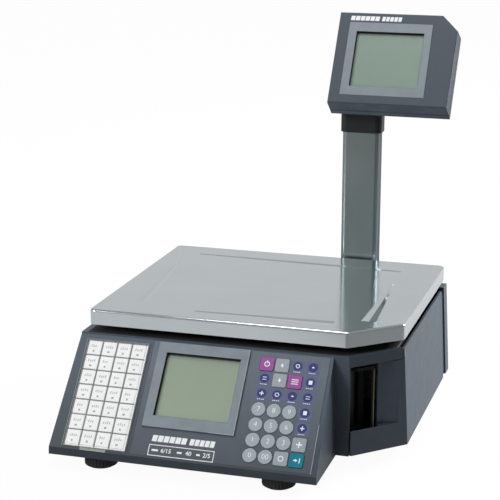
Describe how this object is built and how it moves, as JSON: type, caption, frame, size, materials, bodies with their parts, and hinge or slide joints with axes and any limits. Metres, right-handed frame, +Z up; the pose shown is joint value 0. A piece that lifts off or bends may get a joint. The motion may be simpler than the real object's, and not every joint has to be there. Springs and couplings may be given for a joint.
{
  "type": "retail price scale",
  "caption": "Counter scale with a steel weighing pan, sloped keyboard console with display, side label printer behind a hinged door, and a swivelling display on a pole.",
  "frame": {"origin": "centre of the bounding box in plan, on the surface the feet stand on", "axes": "+X to the right seen from the keyboard side, +Y away from the keyboard towards the pole, +Z up"},
  "size_m": [0.4048, 0.486, 0.4974],
  "materials": {
    "case_plastic": "finely textured dark slate grey moulding",
    "collar_plastic": "near-black moulding",
    "panel_film": "printed matt film on plastic",
    "frame_plastic": "light blue-grey satin moulding",
    "window_clear": "clear window",
    "lcd": "olive reflective liquid crystal cell on its board",
    "lcd_head": "grey-green reflective liquid crystal cell on its board",
    "circuit_board": "solder-masked board with parts",
    "card_white": "white printed card",
    "cover_clear": "clear flexible cover",
    "pan_steel": "fine brushed stainless steel",
    "cast_aluminium": "cast and milled",
    "soft_pads": "soft black rubber",
    "foot_plastic": "black, ribbed",
    "pole_metal": "satin anodised box section",
    "screw_steel": "plated steel",
    "supply_box": "folded plated sheet",
    "level_vial": "clear green vial in its ring",
    "socket_plastic": "black moulded sockets",
    "printer_metal": "dark coated sheet and shafts",
    "motor_metal": "plated motor can",
    "platen_rubber": "ground rubber on a steel shaft",
    "label_paper": "rolled label paper",
    "spool_plastic": "grey moulded spool",
    "key_magenta": "moulded magenta",
    "key_teal": "moulded teal",
    "key_grey": "moulded grey",
    "key_pale": "moulded pale grey"
  },
  "bodies": {
    "case": {"base_tray": "case_plastic", "housing": "case_plastic", "rear_cover": "case_plastic", "display_frame": "frame_plastic", "display_window": "window_clear", "display_lcd": "lcd", "key_panel": "panel_film", "keyboard_board": "circuit_board", "preset_card": "card_white", "preset_cover": "cover_clear", "main_board": "circuit_board", "power_supply": "supply_box", "load_cell": "cast_aluminium", "spirit_level": "level_vial", "pole": "pole_metal", "pole_bracket": "case_plastic", "case_screws": "screw_steel", "swivel_collar": "collar_plastic", "printer_frame": "printer_metal", "peel_bar": "printer_metal", "feed_motor": "motor_metal", "power_inlet": "socket_plastic", "switch_frame": "socket_plastic", "data_sockets": "socket_plastic"},
    "pan_carrier": {"pan_support": "cast_aluminium", "support_pads": "soft_pads"},
    "pan": {"pan": "pan_steel"},
    "display_head": {"head_bezel": "case_plastic", "head_shell": "case_plastic", "head_frame": "frame_plastic", "head_window": "window_clear", "head_lcd": "lcd_head"},
    "printer_door": {"printer_door": "case_plastic"},
    "print_head": {"print_head": "printer_metal"},
    "platen": {"platen_roller": "platen_rubber"},
    "labels": {"label_roll": "label_paper"},
    "take_up": {"take_up_spool": "spool_plastic"},
    "switch_rocker": {"power_switch": "socket_plastic"},
    "foot_front_left": {"foot_front_left": "foot_plastic"},
    "foot_front_right": {"foot_front_right": "foot_plastic"},
    "foot_rear_left": {"foot_rear_left": "foot_plastic"},
    "foot_rear_right": {"foot_rear_right": "foot_plastic"},
    "key_1_1": {"key_1_1": "key_magenta"},
    "key_1_2": {"key_1_2": "key_pale"},
    "key_2_2": {"key_2_2": "key_pale"},
    "key_2_3": {"key_2_3": "key_magenta"},
    "key_4_1": {"key_4_1": "key_grey"},
    "key_4_2": {"key_4_2": "key_grey"},
    "key_4_3": {"key_4_3": "key_grey"},
    "key_5_1": {"key_5_1": "key_grey"},
    "key_5_2": {"key_5_2": "key_grey"},
    "key_5_3": {"key_5_3": "key_grey"},
    "key_6_1": {"key_6_1": "key_grey"},
    "key_6_2": {"key_6_2": "key_grey"},
    "key_6_3": {"key_6_3": "key_grey"},
    "key_6_4": {"key_6_4": "key_pale"},
    "key_7_1": {"key_7_1": "key_grey"},
    "key_7_2": {"key_7_2": "key_grey"},
    "key_7_3": {"key_7_3": "key_pale"},
    "key_7_4": {"key_7_4": "key_teal"}
  },
  "joints": [
    {"name": "display_swivel", "type": "hinge", "parent": "case", "child": "display_head", "pos_m": [0.0715, 0.2051, 0.38], "axis": [0, 0, 1], "range_deg": [-90, 180]},
    {"name": "door_open", "type": "hinge", "parent": "case", "child": "printer_door", "pos_m": [0.19414, 0.1626, 0.077], "axis": [-0.0534, 0, 0.9986], "range_deg": [0, 90]},
    {"name": "print_head_release", "type": "hinge", "parent": "case", "child": "print_head", "pos_m": [0.13085, -0.09559, 0.077], "axis": [0, 0, 1], "range_deg": [0, 12]},
    {"name": "label_roll_spin", "type": "hinge", "parent": "case", "child": "labels", "pos_m": [0.136, 0.045, 0.066], "axis": [0, 0, 1], "continuous": true},
    {"name": "platen_spin", "type": "hinge", "parent": "case", "child": "platen", "pos_m": [0.13, -0.112, 0.077], "axis": [0, 0, 1], "continuous": true},
    {"name": "take_up_spin", "type": "hinge", "parent": "case", "child": "take_up", "pos_m": [0.15, 0.122, 0.066], "axis": [0, 0, 1], "continuous": true},
    {"name": "switch_rock", "type": "hinge", "parent": "case", "child": "switch_rocker", "pos_m": [-0.122, 0.1871, 0.048], "axis": [-1, 0, 0], "range_deg": [0, 12]},
    {"name": "pan_weigh", "type": "slide", "parent": "case", "child": "pan_carrier", "axis": [0, 0, 1], "range_m": [-0.0004, 0], "stiffness_N_per_m": 200000, "springref_m": 0.00012},
    {"name": "pan_lift", "type": "slide", "parent": "pan_carrier", "child": "pan", "axis": [0, 0, 1], "range_m": [0, 0.06]},
    {"name": "foot_front_left_turn", "type": "hinge", "parent": "case", "child": "foot_front_left", "pos_m": [-0.1444, -0.2169, 0.01], "axis": [0, 0, 1], "continuous": true},
    {"name": "foot_front_right_turn", "type": "hinge", "parent": "case", "child": "foot_front_right", "pos_m": [0.0746, -0.2169, 0.01], "axis": [0, 0, 1], "continuous": true},
    {"name": "foot_rear_left_turn", "type": "hinge", "parent": "case", "child": "foot_rear_left", "pos_m": [-0.1444, 0.135, 0.01], "axis": [0, 0, 1], "continuous": true},
    {"name": "foot_rear_right_turn", "type": "hinge", "parent": "case", "child": "foot_rear_right", "pos_m": [0.148, 0.135, 0.01], "axis": [0, 0, 1], "continuous": true},
    {"name": "key_1_1_press", "type": "slide", "parent": "case", "child": "key_1_1", "axis": [0, -0.7697, 0.6384], "range_m": [-0.0006, 0], "stiffness_N_per_m": 800},
    {"name": "key_1_2_press", "type": "slide", "parent": "case", "child": "key_1_2", "axis": [0, -0.7697, 0.6384], "range_m": [-0.0006, 0], "stiffness_N_per_m": 800},
    {"name": "key_2_2_press", "type": "slide", "parent": "case", "child": "key_2_2", "axis": [0, -0.7697, 0.6384], "range_m": [-0.0006, 0], "stiffness_N_per_m": 800},
    {"name": "key_2_3_press", "type": "slide", "parent": "case", "child": "key_2_3", "axis": [0, -0.7697, 0.6384], "range_m": [-0.0006, 0], "stiffness_N_per_m": 800},
    {"name": "key_4_1_press", "type": "slide", "parent": "case", "child": "key_4_1", "axis": [0, -0.7697, 0.6384], "range_m": [-0.0006, 0], "stiffness_N_per_m": 800},
    {"name": "key_4_2_press", "type": "slide", "parent": "case", "child": "key_4_2", "axis": [0, -0.7697, 0.6384], "range_m": [-0.0006, 0], "stiffness_N_per_m": 800},
    {"name": "key_4_3_press", "type": "slide", "parent": "case", "child": "key_4_3", "axis": [0, -0.7697, 0.6384], "range_m": [-0.0006, 0], "stiffness_N_per_m": 800},
    {"name": "key_5_1_press", "type": "slide", "parent": "case", "child": "key_5_1", "axis": [0, -0.7697, 0.6384], "range_m": [-0.0006, 0], "stiffness_N_per_m": 800},
    {"name": "key_5_2_press", "type": "slide", "parent": "case", "child": "key_5_2", "axis": [0, -0.7697, 0.6384], "range_m": [-0.0006, 0], "stiffness_N_per_m": 800},
    {"name": "key_5_3_press", "type": "slide", "parent": "case", "child": "key_5_3", "axis": [0, -0.7697, 0.6384], "range_m": [-0.0006, 0], "stiffness_N_per_m": 800},
    {"name": "key_6_1_press", "type": "slide", "parent": "case", "child": "key_6_1", "axis": [0, -0.7697, 0.6384], "range_m": [-0.0006, 0], "stiffness_N_per_m": 800},
    {"name": "key_6_2_press", "type": "slide", "parent": "case", "child": "key_6_2", "axis": [0, -0.7697, 0.6384], "range_m": [-0.0006, 0], "stiffness_N_per_m": 800},
    {"name": "key_6_3_press", "type": "slide", "parent": "case", "child": "key_6_3", "axis": [0, -0.7697, 0.6384], "range_m": [-0.0006, 0], "stiffness_N_per_m": 800},
    {"name": "key_6_4_press", "type": "slide", "parent": "case", "child": "key_6_4", "axis": [0, -0.7697, 0.6384], "range_m": [-0.0006, 0], "stiffness_N_per_m": 800},
    {"name": "key_7_1_press", "type": "slide", "parent": "case", "child": "key_7_1", "axis": [0, -0.7697, 0.6384], "range_m": [-0.0006, 0], "stiffness_N_per_m": 800},
    {"name": "key_7_2_press", "type": "slide", "parent": "case", "child": "key_7_2", "axis": [0, -0.7697, 0.6384], "range_m": [-0.0006, 0], "stiffness_N_per_m": 800},
    {"name": "key_7_3_press", "type": "slide", "parent": "case", "child": "key_7_3", "axis": [0, -0.7697, 0.6384], "range_m": [-0.0006, 0], "stiffness_N_per_m": 800},
    {"name": "key_7_4_press", "type": "slide", "parent": "case", "child": "key_7_4", "axis": [0, -0.7697, 0.6384], "range_m": [-0.0006, 0], "stiffness_N_per_m": 800}
  ],
  "couplings": [
    {"joint": "platen_spin", "follows": "label_roll_spin", "ratio": 6},
    {"joint": "take_up_spin", "follows": "label_roll_spin", "ratio": -4}
  ]
}
